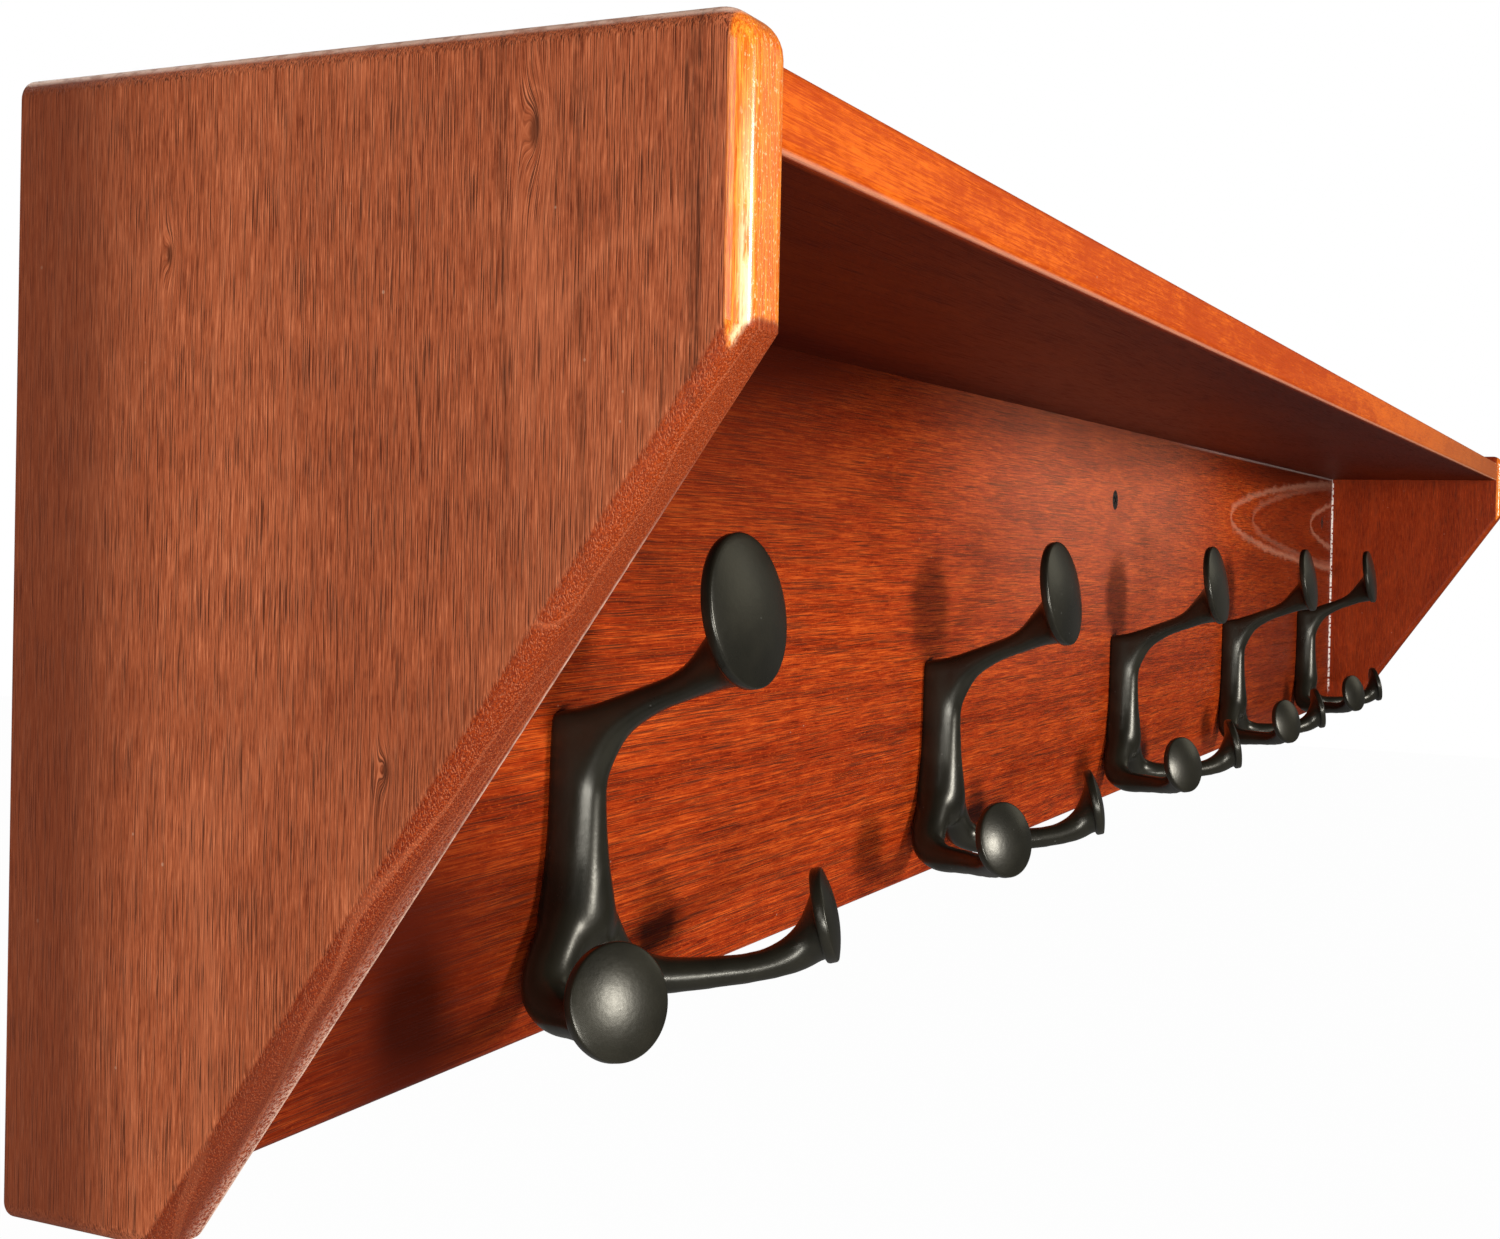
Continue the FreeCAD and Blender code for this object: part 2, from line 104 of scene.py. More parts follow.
class Shader:
    """The nodes of a material or of the world."""

    def __init__(self, owner):
        owner.use_nodes = True
        self.owner = owner
        self.tree = owner.node_tree
        self.tree.nodes.clear()

    def node(self, kind, settings=None, inputs=None):
        """A new node with its settings, and its inputs set to constants or linked to values."""
        made = self.tree.nodes.new(kind)
        for key, setting in (settings or {}).items():
            setattr(made, key, setting)
        for key, term in (inputs or {}).items():
            if isinstance(term, Value):
                self.tree.links.new(term.socket, made.inputs[key])
            else:
                made.inputs[key].default_value = term
        return made

    def value(self, kind, output, settings=None, inputs=None):
        """What a new node gives at one of its outputs."""
        return Value(self, self.node(kind, settings, inputs).outputs[output])

    def math(self, operation, *terms):
        return self.value("ShaderNodeMath", "Value", {"operation": operation}, dict(enumerate(terms)))

    def mix(self, share, first, second):
        """A colour between two colours. The numbers are the node's sockets for colours."""
        return self.value("ShaderNodeMix", 2, {"data_type": "RGBA"}, {0: share, 6: first, 7: second})

    def blend(self, share, first, second):
        """Shading between two kinds of shading."""
        return self.value("ShaderNodeMixShader", "Shader", None, {0: share, 1: first, 2: second})

    def point(self, x, y, z):
        return self.value("ShaderNodeCombineXYZ", "Vector", None, {"X": x, "Y": y, "Z": z})

    def axes(self):
        """The place on the object along X, Y and Z, in millimetres."""
        place = self.value("ShaderNodeTexCoord", "Object")
        inputs = {"Vector": place, "Scale": 1.0 / MM}
        scaled = self.value("ShaderNodeVectorMath", "Vector", {"operation": "SCALE"}, inputs)
        parts = self.node("ShaderNodeSeparateXYZ", None, {"Vector": scaled})
        return [Value(self, socket) for socket in parts.outputs]

    def noise(self, place, detail, roughness=0.5):
        """Soft noise of about 0 to 1 at a place given by three numbers or values."""
        inputs = {"Vector": self.point(*place), "Scale": 1.0, "Detail": detail, "Roughness": roughness}
        return self.value("ShaderNodeTexNoise", "Fac", None, inputs)

    def speck(self, place):
        """The distance to the nearest of many scattered points."""
        inputs = {"Vector": self.point(*place), "Scale": 1.0}
        return self.value("ShaderNodeTexVoronoi", "Distance", {"feature": "F1"}, inputs)

    def bump(self, height, distance):
        inputs = {"Height": height, "Distance": distance}
        return self.value("ShaderNodeBump", "Normal", None, inputs)

    def show(self, shading, output="ShaderNodeOutputMaterial"):
        """Ends the nodes with this shading and gives back what they belong to."""
        self.node(output, None, {"Surface": shading})
        return self.owner

    def surface(self, **inputs):
        """Ends a material with a Principled shader."""
        sockets = {name.replace("_", " "): term for name, term in inputs.items()}
        return self.show(self.value("ShaderNodeBsdfPrincipled", "BSDF", None, sockets))


def between(value, low, high, soft):
    """1 where a value is between two levels, with soft ends."""
    return value.rise(low - soft, low + soft) * value.rise(high + soft, high - soft)


# Where things are on the boards

def past_slope(y, z):
    """How far a place lies out from a side panel's slope. Inside the wood it is below 0."""
    return (y - SLOPE_FOOT[0]) * SLOPE_FACING[0] + (z - SLOPE_FOOT[1]) * SLOPE_FACING[1]


def panel_front(y, z, depth=2.7):
    """1 on the front face of a side panel, as far back as depth, but 0 on its slope."""
    return y.rise(PANEL_FRONT + depth, PANEL_FRONT + depth - 0.6) * past_slope(y, z).rise(-0.3, -0.9)


def shelf_front(y, z):
    """1 on the front edge of the shelf."""
    return y.rise(SHELF_FRONT + 1.2, SHELF_FRONT + 0.5)


# Wood

# How a board is cut from its log. Its fibres lie along one axis, a pore is about run millimetres
# long, and fine is how closely the fibres lie beside each other. patches is how much the pores
# gather, and bands and mottle are how much the tone changes from ring to ring and place to place.
PANEL_CUT = {
    "fibres": "z",
    "run": 9.0,
    "fine": 6.4,
    "patches": 0.10,
    "bands": 0.2,
    "mottle": 0.2,
    "sloped": True,
}
SHELF_CUT = {
    "fibres": "x",
    "run": 12.0,
    "fine": 5.2,
    "patches": 0.26,
    "bands": 0.7,
    "mottle": 0.5,
    "sloped": False,
}
BACK_CUT = {**SHELF_CUT, "run": 15.0}

# The stain on the dark, the middle and the pale grain
LEFT_STAINS = ((0.120, 0.023, 0.009, 1.0), (0.310, 0.075, 0.028, 1.0), (0.54, 0.165, 0.072, 1.0))
# The right panel's stain is darker than the others: it gives that panel its colour and also paints
# shade onto it
RIGHT_STAINS_WITH_SHADE = ((0.075, 0.006, 0.001, 1.0), (0.20, 0.018, 0.002, 1.0), (0.38, 0.050, 0.008, 1.0))
LONG_STAINS = ((0.095, 0.0065, 0.001, 1.0), (0.27, 0.024, 0.0025, 1.0), (0.52, 0.082, 0.010, 1.0))

# How strongly the grain of a board shows, how strong its painted glints are and how rough its lacquer
# is
LEFT_FINISH = {"stains": LEFT_STAINS, "contrast": 1.15, "glint": 0.12, "roughness": 0.46}
RIGHT_FINISH = {"stains": RIGHT_STAINS_WITH_SHADE, "contrast": 0.9, "glint": 0.3, "roughness": 0.42}
SHELF_FINISH = {"stains": LONG_STAINS, "contrast": 0.5, "glint": 0.2, "roughness": 0.42}
BACK_FINISH = {"stains": LONG_STAINS, "contrast": 1.05, "glint": 0.45, "roughness": 0.38}

# Front edges, which took the stain more lightly: where they are, their dark and their pale grain
PANEL_EDGE = (panel_front, (0.58, 0.10, 0.004, 1.0), (0.84, 0.27, 0.025, 1.0))
SHELF_EDGE = (shelf_front, (0.38, 0.044, 0.002, 1.0), (0.64, 0.118, 0.007, 1.0))

# Details of the wood
END_GRAIN_DARK = (0.085, 0.0045, 0.0006, 1.0)
END_GRAIN_PALE = (0.31, 0.042, 0.004, 1.0)
PORE_STAIN = (0.045, 0.011, 0.005, 1.0)
PALE_FLECK = (0.62, 0.42, 0.30, 1.0)
# Near white for the painted light along the joints
PAINTED_JOINT_LIGHT = (0.92, 0.86, 0.80, 1.0)
# Pale colour for painted highlights along edges
PAINTED_EDGE_HIGHLIGHT = (0.82, 0.56, 0.44, 1.0)
# Cream colour for the painted glint on the left panel's front edge
PAINTED_EDGE_GLINT = (0.95, 0.74, 0.44, 1.0)
# Pale tone: the arches of the back board's grain and the shelf's paler lower front edge, and also a
# painted pool of light on the back board
PALE_TONE_AND_PAINTED_LIGHT = (0.80, 0.42, 0.28, 1.0)
# Near black red for painted shade on the back board
PAINTED_SHADE = (0.055, 0.005, 0.001, 1.0)
# Near black for painted shade on the shelf's underside
PAINTED_UNDERSIDE_SHADE = (0.03, 0.0012, 0.0003, 1.0)
DARK_FRONT = (0.34, 0.110, 0.034, 1.0)
# Dark tone: the darker band along the left panel's back edge and its darker lower patches, and also
# painted shade on its slope
DARK_TONE_AND_PAINTED_SHADE = (0.10, 0.021, 0.009, 1.0)

# Knots of the left panel: their place across and along the grain, and their size
LEFT_PANEL_KNOTS = ((-24.1, 53.9, 1.6), (-56.4, -4.1, 1.5), (-74.5, 64.9, 2.6))

# Dark lines of the left panel's grain: their place across it, how they lean, how strong they are
RESIN_LINES = ((-95.2, -0.012, 0.8), (-94.4, -0.012, 0.5), (-82.0, -0.03, 0.6), (-72.6, -0.035, 0.55))

# The pointed arches in the grain of the back board: the height of their tips, how blunt they are,
# and for each the place along the board where it begins and its strength
ARCH_MIDDLE = 37.0
ARCH_SPREAD = 2.3
ARCHES = ((177.0, 0.20), (222.0, 0.09), (366.0, 0.18))


def rings_about(middle_wide, middle_deep):
    """Growth rings about a line along the fibres, far to one side of the board."""
    def rings_at(along, wide, deep):
        off_wide = wide - middle_wide
        off_deep = deep - middle_deep
        return (off_wide * off_wide + off_deep * off_deep) ** 0.5
    return rings_at


def arched_rings(along, wide, deep):
    """Growth rings that the cut runs along, so that they make pointed arches to the right."""
    off_wide = wide - ARCH_MIDDLE
    return (along - off_wide * off_wide / ARCH_SPREAD) / 9.0 + deep * 0.4


def knots_at(along, wide, knots):
    """How far knots push the grain aside at a place, and how near their hearts are."""
    bend = 0.0
    darkening = 0.0
    for knot_wide, knot_along, size in knots:
        off_wide = (wide - knot_wide) / (size * 0.8)
        off_along = (along - knot_along) / (size * 2.4)
        nearness = 1.0 / (1.0 + off_wide * off_wide + off_along * off_along)
        bend = nearness * nearness * (size * 1.5) + bend
        darkening = nearness ** 7.0 + darkening
    return bend, darkening


class Grain:
    """The grain of a board, as fields over its faces that run from about 0 to 1."""

    def __init__(self, shader, axes, cut, rings_at, shift, knots):
        """rings_at gives the growth ring at a place. shift is another number for every board, so
        that no two boards have the same grain."""
        x, y, z = axes
        along, wide, deep = (z, y, x) if cut["fibres"] == "z" else (x, z, y)
        run = cut["run"]
        fine = cut["fine"]
        bend, self.knot = knots_at(along, wide, knots)
        sway = shader.noise((wide / 34.0, along / (run * 12.0), shift), 2.0) - 0.5
        ripple = shader.noise((wide / 7.0, along / (run * 4.0), deep / 9.0), 2.0) - 0.5

        ring = rings_at(along, wide, deep) + sway * 16.0 + bend + ripple * 1.4
        self.rings = shader.noise((ring / 4.5, shift + 3.0, along / 900.0), 3.0, 0.55)
        self.bands = shader.noise((ring / 17.0, along / 260.0, shift), 1.0)
        self.ring_line = 1.0 - shader.math("ABSOLUTE", self.rings - 0.52).rise(0.0, 0.028)

        bent = wide + bend * 0.6 + ripple * 0.5
        self.fibres = shader.noise((bent * fine, deep * fine, along / (run * 0.6) + shift), 3.0, 0.72)
        gathered = shader.noise((ring / 5.0, along / (run * 3.5), shift + 8.0), 2.0) * cut["patches"]
        level = cut["patches"] * 0.5
        pores = shader.noise((bent * fine, deep * fine, along / run + shift), 1.5, 0.45)
        self.pore = (pores + gathered).rise(0.56 + level, 0.66 + level)
        # Painted highlight: a shifted pale copy of the pores, drawn as the lit wall of each pore
        walls = shader.noise(((bent - 0.06) * fine, deep * fine, along / run + shift), 1.5, 0.45)
        self.lit_wall = (walls + gathered).rise(0.54 + level, 0.65 + level) * (1.0 - self.pore)
        long_pores = shader.noise((bent * 2.7, deep * 2.7, along / (run * 1.7) - shift), 2.0)
        self.long_pore = long_pores.rise(0.60, 0.69)

        self.mottle = shader.noise((wide / 9.0, deep / 9.0, along / (run * 2.0)), 3.0, 0.6)
        self.curl = shader.noise((bent * 1.1, deep * 1.1, along / 2.4), 2.0, 0.6)
        # Painted glints: pale specks that stand in for sparkling light
        self.glint = shader.noise((wide * 3.4, deep * 3.4, along * 1.1), 1.0).rise(0.60, 0.74)
        self.fleck = shader.speck((wide / 6.0, deep / 6.0, along / 7.0)).rise(0.04, 0.02)


def stained_wood(name, cut, rings_at, shift, finish, front=None, knots=(), touches=None):
    """Cherry-stained open-pored wood. front is the board's front edge with its two stains, knots
    are places on its outer face, and touches is a function that adds what only this board has."""
    shader = Shader(bpy.data.materials.new(name))
    x, y, z = shader.axes()
    grain = Grain(shader, (x, y, z), cut, rings_at, shift, knots)
    contrast = finish["contrast"]
    dark, middle, pale = finish["stains"]

    tone = (grain.fibres - 0.5) * (2.0 * contrast) + (grain.rings - 0.5) * 0.35
    tone = tone + (grain.bands - 0.5) * cut["bands"] + (grain.mottle - 0.5) * cut["mottle"]
    tone = tone + (grain.curl - 0.5) * 0.34 + 0.5
    colour = shader.mix(tone.rise(0.10, 0.56), dark, middle)
    colour = shader.mix(tone.rise(0.50, 0.95), colour, pale)

    edge = 0.0
    if front is not None:
        front_at, edge_dark, edge_pale = front
        edge = front_at(y, z)
        colour = shader.mix(edge, colour, shader.mix(tone.rise(0.3, 0.75), edge_dark, edge_pale))
    off_edge = 1.0 - edge

    end_grain = 0.0
    if cut["sloped"]:
        end_grain = past_slope(y, z).rise(-2.5, -1.9) * off_edge
        speckle = shader.noise((x * 4.6, y * 4.6, z * 4.6), 3.0, 0.75).rise(0.42, 0.70)
        cut_share = speckle + z.rise(-25.0, 35.0) * 0.3
        cut_colour = shader.mix(cut_share, END_GRAIN_DARK, END_GRAIN_PALE)
        colour = shader.mix(end_grain * 0.92, colour, cut_colour)

    colour = shader.mix(grain.lit_wall * (0.45 * contrast) * off_edge, colour, pale)
    colour = shader.mix(grain.ring_line * 0.22, colour, pale)
    colour = shader.mix(grain.glint * finish["glint"] * off_edge, colour, pale)
    pore = grain.pore * (0.66 * contrast) * (1.0 - end_grain * 0.8) * (1.0 - edge * 0.8)
    colour = shader.mix(pore, colour, PORE_STAIN)
    long_pore = grain.long_pore * (0.50 * contrast) * (1.0 - end_grain) * off_edge
    colour = shader.mix(long_pore, colour, PORE_STAIN)
    colour = shader.mix(grain.fleck * 0.35, colour, PALE_FLECK)
    if knots:
        colour = shader.mix(grain.knot.rise(0.15, 0.9) * 0.72, colour, PORE_STAIN)
    if touches is not None:
        colour = touches(shader, colour, x, y, z)

    grit = shader.noise((x * 3.1, y * 3.1, z * 3.1), 2.0)
    roughness = finish["roughness"] + (grain.fibres - 0.5) * 0.2 + grain.pore * 0.16
    relief = grain.fibres * 0.55 - grain.pore * (0.9 * contrast) + grain.rings * 0.2
    relief = relief + grit * 0.25 + grain.curl * 0.2
    return shader.surface(
        Base_Color=colour,
        Roughness=roughness + (grit - 0.5) * 0.14,
        Specular_IOR_Level=0.09,
        Coat_Weight=edge * 0.5 if cut["sloped"] else 0.0,
        Coat_Roughness=0.13,
        Normal=shader.bump(relief, 0.035 * MM),
    )


def left_panel_touches(shader, colour, x, y, z):
    """A darker band along the back edge and darker patches lower down, dark lines, painted
    highlights and glints on the front, top and slope edges, and painted shade on the slope's lower
    outer part.
    """
    inward = x - PANEL_OUTSIDE
    wander = shader.noise((z / 40.0, y / 9.0, 4.0), 2.0) - 0.5
    # Darker along the back edge, and in patches lower down
    darkening = (y + wander * 8.0).rise(-25.0, -8.0) * inward.rise(6.0, 3.0)
    middle = shader.noise((y / 30.0, z / 90.0, 9.0), 2.0).rise(0.35, 0.65) * z.rise(60.0, 5.0)
    colour = shader.mix(darkening * 0.72 + middle * 0.08, colour, DARK_TONE_AND_PAINTED_SHADE)

    # Painted highlight: a streaky cream band on the outer rounded front edge, stronger lower down
    front = panel_front(y, z, 2.4)
    streaks = shader.noise((x * 2.2, y * 2.2, z / 5.0), 3.0, 0.7).rise(0.30, 0.55)
    bright = between(inward, 0.6, 1.7, 0.35) * front * z.rise(73.0, 46.0) * streaks
    colour = shader.mix(bright * 0.75, colour, PAINTED_EDGE_GLINT)

    broken = shader.noise((1.0, y / 3.0, z / 6.0), 3.0, 0.7).rise(0.30, 0.60)
    outer_face = inward.rise(3.0, 1.0) * z.rise(0.0, 35.0)
    for place, lean, strength in RESIN_LINES:
        off = (y + z * lean + wander * 1.4 - place) / 0.26
        line = 1.0 / (1.0 + off * off) * outer_face
        colour = shader.mix(line * broken * strength, colour, PORE_STAIN)

    # Painted glints: pale specks on the foremost strip of the front edge
    glint_specks = shader.noise((x * 3.0, y * 3.0, z * 1.6), 2.0, 0.6).rise(0.58, 0.68)
    foremost = y.rise(PANEL_FRONT + 1.6, PANEL_FRONT + 0.6) * front
    colour = shader.mix(glint_specks * foremost * 0.4, colour, PAINTED_EDGE_GLINT)
    # Painted highlight: a broken pale line along the top edge
    patchy_highlight = shader.noise((x, y * 0.6, z * 0.6), 2.0).rise(0.35, 0.65)
    top_edge = z.rise(PANEL_TOP - 1.35, PANEL_TOP - 0.65) * patchy_highlight.rise(-0.6, 0.6)
    colour = shader.mix(top_edge * 0.75, colour, PAINTED_EDGE_HIGHLIGHT)

    # Painted shade: the outer part of the slope's lower end is darkened
    on_slope = past_slope(y, z).rise(-2.6, -1.6)
    low_end = on_slope * z.rise(0.0, -45.0)
    colour = shader.mix(inward.rise(6.0, 2.0) * low_end * 0.55, colour, DARK_TONE_AND_PAINTED_SHADE)
    # Painted highlight: the inner part of the slope's lower end is speckled pale
    speckled = shader.noise((x * 2.6, y * 2.6, z * 2.6), 2.0, 0.6).rise(0.40, 0.62)
    colour = shader.mix(inward.rise(3.0, 8.2) * low_end * speckled * 0.55, colour, PAINTED_EDGE_HIGHLIGHT)
    # Painted highlight along the slope's inner edge, in its lower part
    inner_edge = between(inward, 7.1, 8.8, 0.4) * on_slope * z.rise(34.0, 10.0)
    return shader.mix(inner_edge * (0.35 + patchy_highlight * 0.4), colour, PAINTED_EDGE_HIGHLIGHT)


def joint_light_dots(shader, z, size):
    """Where painted light shows along an upright joint: in dots, and not at its lower end."""
    return shader.noise((0.0, 0.0, z / size), 1.0).rise(0.42, 0.50) * z.rise(-58.0, -50.0)


def right_panel_touches(shader, colour, x, y, z):
    """Painted light, in dots, where the back board meets the panel."""
    joint = between(y, BOARD_FRONT - 0.65, BOARD_FRONT + 0.2, 0.12)
    joint = joint * x.rise(BOARD_END + 0.7, BOARD_END + 0.3) * z.rise(63.0, 61.0)
    return shader.mix(joint * joint_light_dots(shader, z, 1.9) * 0.8, colour, PAINTED_JOINT_LIGHT)


def shelf_touches(shader, colour, x, y, z):
    """A darker right end, painted shade on the underside, and a paler lower front edge."""
    back = y - SHELF_FRONT
    up = z - SHELF_FOOT
    colour = shader.mix(x.rise(-150.0, 330.0) * back.rise(2.0, 0.5) * 0.55, colour, DARK_FRONT)
    # Painted shade: the underside is darkened
    colour = shader.mix(up.rise(0.75, 0.15) * back.rise(1.0, 2.6) * 0.8, colour, PAINTED_UNDERSIDE_SHADE)
    # A paler lower front edge
    return shader.mix(back.rise(1.2, 0.7) * up.rise(0.65, 0.25) * 0.45, colour, PALE_TONE_AND_PAINTED_LIGHT)


def back_board_touches(shader, colour, x, y, z):
    """Painted shade at the lower left, beside the first hook, at the right end, at the top left and
    just under the shelf; a painted pool of light in the middle; arches of the grain at the right end;
    and painted light along the two joints."""
    # Painted shade: darker at the lower left, beside the first hook, at the right end, at the top left
    # and just under the shelf
    low_left = x.rise(-335.0, -385.0) * z.rise(20.0, -35.0)
    right_end = x.rise(150.0, 290.0)
    first_hook = x.rise(-405.0, -372.0) * x.rise(-325.0, -345.0) * z.rise(-14.0, -42.0)
    top_left = x.rise(-60.0, -300.0) * z.rise(4.0, 54.0)
    painted_shade_share = low_left * 0.6 + right_end * 0.58 + first_hook * 0.5 + top_left * 0.85
    colour = shader.mix(painted_shade_share + z.rise(48.0, 63.0) * 0.30, colour, PAINTED_SHADE)
    # Painted light: a paler patch in the middle of the back board, stronger higher up
    painted_light_middle = between(x, -130.0, 120.0, 70.0) * z.rise(-30.0, 40.0)
    colour = shader.mix(painted_light_middle * 0.12, colour, PALE_TONE_AND_PAINTED_LIGHT)

    off = z - ARCH_MIDDLE
    lean = (off * off * (4.0 / ARCH_SPREAD ** 2) + 1.0) ** 0.5
    waver = (shader.noise((x / 9.0, z / 4.0, 2.0), 3.0) - 0.5) * 4.5
    seen_side = y.rise(-5.0, -8.0)
    for start, strength in ARCHES:
        away = shader.math("ABSOLUTE", (x - start - off * off / ARCH_SPREAD) / lean + waver)
        colour = shader.mix(away.rise(2.4, 0.2) * seen_side * strength, colour, PALE_TONE_AND_PAINTED_LIGHT)

    # Painted light: dots along the joint with the right panel, and a faint pale line just under the
    # shelf
    end_line = x.rise(BOARD_END - 2.7, BOARD_END - 2.0) * joint_light_dots(shader, z, 1.7)
    top_line = z.rise(SHELF_FOOT - 1.2, SHELF_FOOT - 0.5) * x.rise(60.0, 160.0) * 0.22
    return shader.mix((end_line * 0.7 + top_line) * seen_side, colour, PAINTED_JOINT_LIGHT)


def finish_boards():
    """Gives the four boards of the frame their wood."""
    left = stained_wood(
        "left_panel_wood",
        PANEL_CUT,
        rings_about(-62.0, -330.0),
        0.0,
        LEFT_FINISH,
        PANEL_EDGE,
        LEFT_PANEL_KNOTS,
        left_panel_touches,
    )
    right = stained_wood(
        "right_panel_wood",
        PANEL_CUT,
        rings_about(-35.0, 520.0),
        5.3,
        RIGHT_FINISH,
        PANEL_EDGE,
        touches=right_panel_touches,
    )
    shelf = stained_wood(
        "shelf_wood",
        SHELF_CUT,
        rings_about(40.0, -60.0),
        11.7,
        SHELF_FINISH,
        SHELF_EDGE,
        touches=shelf_touches,
    )
    back = stained_wood(
        "back_board_wood",
        BACK_CUT,
        arched_rings,
        21.4,
        BACK_FINISH,
        touches=back_board_touches,
    )
    for name, wood in (
        ("left_side_panel", left),
        ("right_side_panel", right),
        ("shelf_board", shelf),
        ("back_board", back),
    ):
        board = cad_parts[name]
        board.data.materials.clear()
        board.data.materials.append(wood)


# Metal

# The powder coat of the hooks: its black, its worn olive grey, its pale nibs and its shine
COAT_BLACK = (0.0070, 0.0066, 0.0045, 1.0)
COAT_WORN = (0.0120, 0.0110, 0.0072, 1.0)
COAT_NIB = (0.10, 0.10, 0.09, 1.0)
COAT_SHINE = (1.0, 0.97, 0.86, 1.0)

# The pale and the dark of the two metals of the screws
BLACK_OXIDE = ((0.05, 0.05, 0.047, 1.0), (0.014, 0.014, 0.013, 1.0))
ZINC_PLATE = ((0.72, 0.72, 0.69, 1.0), (0.50, 0.49, 0.46, 1.0))


def black_casting():
    """Satin black powder coat on a casting: fine orange peel, worn to olive grey here and there."""
    shader = Shader(bpy.data.materials.new("black_powder_coat"))
    x, y, z = shader.axes()
    peel = shader.noise((x / 1.1, y / 1.1, z / 1.1), 2.0)
    grain = shader.noise((x * 2.4, y * 2.4, z * 2.4), 2.0, 0.55)
    cloud = shader.noise((x / 14.0, y / 14.0, z / 14.0), 3.0, 0.6)
    nib = shader.speck((x / 4.5, y / 4.5, z / 4.5)).rise(0.06, 0.03)
    colour = shader.mix(cloud.rise(0.3, 0.7), COAT_BLACK, COAT_WORN)
    return shader.surface(
        Base_Color=shader.mix(nib * 0.5, colour, COAT_NIB),
        Roughness=0.30 + (cloud - 0.5) * 0.10 + (grain - 0.5) * 0.08,
        Specular_IOR_Level=0.38,
        Specular_Tint=COAT_SHINE,
        Normal=shader.bump(peel * 0.75 + grain * 0.25 + nib * 0.3, 0.025 * MM),
    )


def screw_metal(name, colours, metallic, roughness):
    """The plated or blackened steel of a screw, with turning marks and worn edges."""
    pale, dark = colours
    shader = Shader(bpy.data.materials.new(name))
    x, y, z = shader.axes()
    wear = shader.noise((x * 1.3, y * 1.3, z * 1.3), 4.0, 0.6)
    scratch = shader.noise((x * 6.0, y * 0.6, z * 6.0), 2.0)
    return shader.surface(
        Base_Color=shader.mix(wear.rise(0.35, 0.72), dark, pale),
        Metallic=metallic,
        Roughness=roughness + (wear - 0.5) * 0.2 + (scratch - 0.5) * 0.12,
        Normal=shader.bump(wear * 0.6 + scratch * 0.4, 0.03 * MM),
    )


# Shapes

def new_object(name, data):
    made = bpy.data.objects.new(name, data)
    bpy.context.scene.collection.objects.link(made)
    return made


def set_smooth(mesh, smooth=True):
    mesh.polygons.foreach_set("use_smooth", [smooth] * len(mesh.polygons))


def mesh_object(name, points, faces, smooth=True):
    """A mesh with corners given in millimetres."""
    mesh = bpy.data.meshes.new(name)
    mesh.from_pydata([[c * MM for c in point] for point in points], [], faces)
    set_smooth(mesh, smooth)
    mesh.update()
    return new_object(name, mesh)


def tube_faces(rows, around):
    """The faces of a closed tube whose corners lie in rows around it."""
    faces = []
    for i in range(rows - 1):
        for k in range(around):
            n = (k + 1) % around
            faces.append((i * around + k, i * around + n, (i + 1) * around + n, (i + 1) * around + k))
    faces.append(tuple(reversed(range(around))))
    faces.append(tuple(range((rows - 1) * around, rows * around)))
    return faces


def curve_through(stations, steps):
    """Rows of numbers run smoothly through the given rows."""
    rows = []
    last = len(stations) - 1
    for i in range(last):
        before = stations[max(i - 1, 0)]
        start = stations[i]
        end = stations[i + 1]
        after = stations[min(i + 2, last)]
        for k in range(steps):
            t = k / steps
            row = []
            for a, b, c, d in zip(before, start, end, after):
                slope_in = (c - a) / 2
                slope_out = (d - b) / 2
                cubic = 2 * b - 2 * c + slope_in + slope_out
                square = -3 * b + 3 * c - 2 * slope_in - slope_out
                row.append(cubic * t ** 3 + square * t ** 2 + slope_in * t + b)
            rows.append(row)
    rows.append(list(stations[last]))
    return rows


# A limb has this many rows for each station and corners around it. It begins to swing round to
# its ending at one share of its length, and takes another share to do so.
LIMB_STEPS = 8
LIMB_CORNERS = 28
SWING_START = 0.6
SWING_LENGTH = 0.32


def limb(name, stations, side, ending=None):
    """A closed swelling rod. Each station is x, y, z, the half width along side and the half
    depth square to it; side is kept square to the run of the rod, which swings round to ending."""
    rows = curve_through(stations, LIMB_STEPS)
    points = []
    for i, row in enumerate(rows):
        ahead = Vector(rows[min(i + 1, len(rows) - 1)][:3])
        behind = Vector(rows[max(i - 1, 0)][:3])
        run = (ahead - behind).normalized()
        if ending is not None:
            share = min(max((i / (len(rows) - 1) - SWING_START) / SWING_LENGTH, 0.0), 1.0)
            run = run.lerp(ending, share * share * (3 - 2 * share)).normalized()
        deep = run.cross(Vector(side)).normalized()
        across = deep.cross(run).normalized()
        middle = Vector(row[:3])
        for k in range(LIMB_CORNERS):
            angle = 2 * math.pi * k / LIMB_CORNERS
            off_across = across * (row[3] * math.cos(angle))
            points.append(middle + off_across + deep * (row[4] * math.sin(angle)))
    return mesh_object(name, points, tube_faces(len(rows), LIMB_CORNERS))


def lathe(name, profile, around):
    """A round piece turned about its own Z axis from (radius, height) pairs, closed on the axis."""
    points = []
    for radius, height in profile:
        for k in range(around):
            angle = 2 * math.pi * k / around
            points.append((radius * math.cos(angle), radius * math.sin(angle), height))
    return mesh_object(name, points, tube_faces(len(profile), around))


def at(x, y, z):
    """The shift to a place given in millimetres."""
    return Matrix.Translation((x * MM, y * MM, z * MM))


def settle(thing, matrix):
    """Moves a piece's own mesh, so that its place is in its corners."""
    thing.data.transform(matrix)
    thing.data.update()
    return thing


def copy_of(pattern, name, matrix):
    """A copy of a pattern, settled in its own place."""
    return settle(new_object(name, pattern.data.copy()), matrix)


